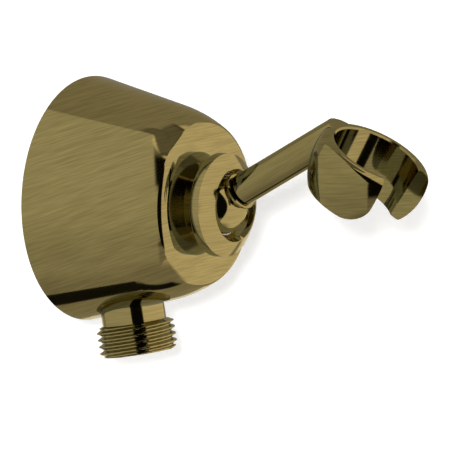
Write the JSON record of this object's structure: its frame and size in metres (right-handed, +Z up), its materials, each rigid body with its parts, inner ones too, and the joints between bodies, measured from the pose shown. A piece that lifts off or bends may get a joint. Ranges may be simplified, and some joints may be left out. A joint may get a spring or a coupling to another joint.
{
  "type": "hand shower holder",
  "caption": "Wall mounted cone shaped supply outlet with a threaded hose nipple below and a tilting arm that ends in a slotted cradle for a hand shower.",
  "frame": {"origin": "centre of the wall face, on the axis of the cone shaped body, at the mouth of the inlet socket", "axes": "+Y into the wall along the axis of the body, -Y out of the wall, +Z up, +X to the right seen from the room"},
  "size_m": [0.065, 0.1007, 0.0747],
  "materials": {
    "brass_finish": "brushed antique brass",
    "brass_plain": "turned",
    "steel": "satin",
    "rubber": "matt",
    "gasket": "matt foam",
    "plastic": "moulded"
  },
  "bodies": {
    "fixed": {"body": "brass_finish", "wall_gasket": "gasket", "inlet_washer": "rubber", "inlet_strainer": "steel", "outlet_nipple": "brass_finish", "nipple_seal": "rubber", "check_valve_housing": "plastic", "check_valve_seal": "rubber", "check_valve_guide": "plastic", "check_valve_spring": "steel", "collar": "brass_finish"},
    "seats": {"front_seat": "plastic", "rear_seat": "plastic", "thrust_washer": "steel", "disc_spring": "steel"},
    "ball": {"ball_stem": "brass_finish"},
    "holder": {"stem_ring": "brass_finish", "arm": "brass_finish", "cradle": "brass_finish"},
    "poppet": {"check_valve_poppet": "plastic", "poppet_seal": "rubber"}
  },
  "joints": [
    {"name": "swing", "type": "hinge", "parent": "fixed", "child": "seats", "pos_m": [0, -0.0403, 0], "axis": [0, -1, 0], "continuous": true},
    {"name": "tilt", "type": "hinge", "parent": "seats", "child": "ball", "pos_m": [0, -0.0403, 0], "axis": [1, 0, 0], "range_deg": [-3, 59]},
    {"name": "twist", "type": "hinge", "parent": "ball", "child": "holder", "pos_m": [0, -0.0403, 0], "axis": [0, -0.8813, 0.4726], "continuous": true},
    {"name": "check_valve", "type": "slide", "parent": "fixed", "child": "poppet", "axis": [0, -0.1426, -0.9898], "range_m": [0, 0.0018], "stiffness_N_per_m": 100, "springref_m": -0.003, "deforming": ["check_valve_spring"]}
  ]
}
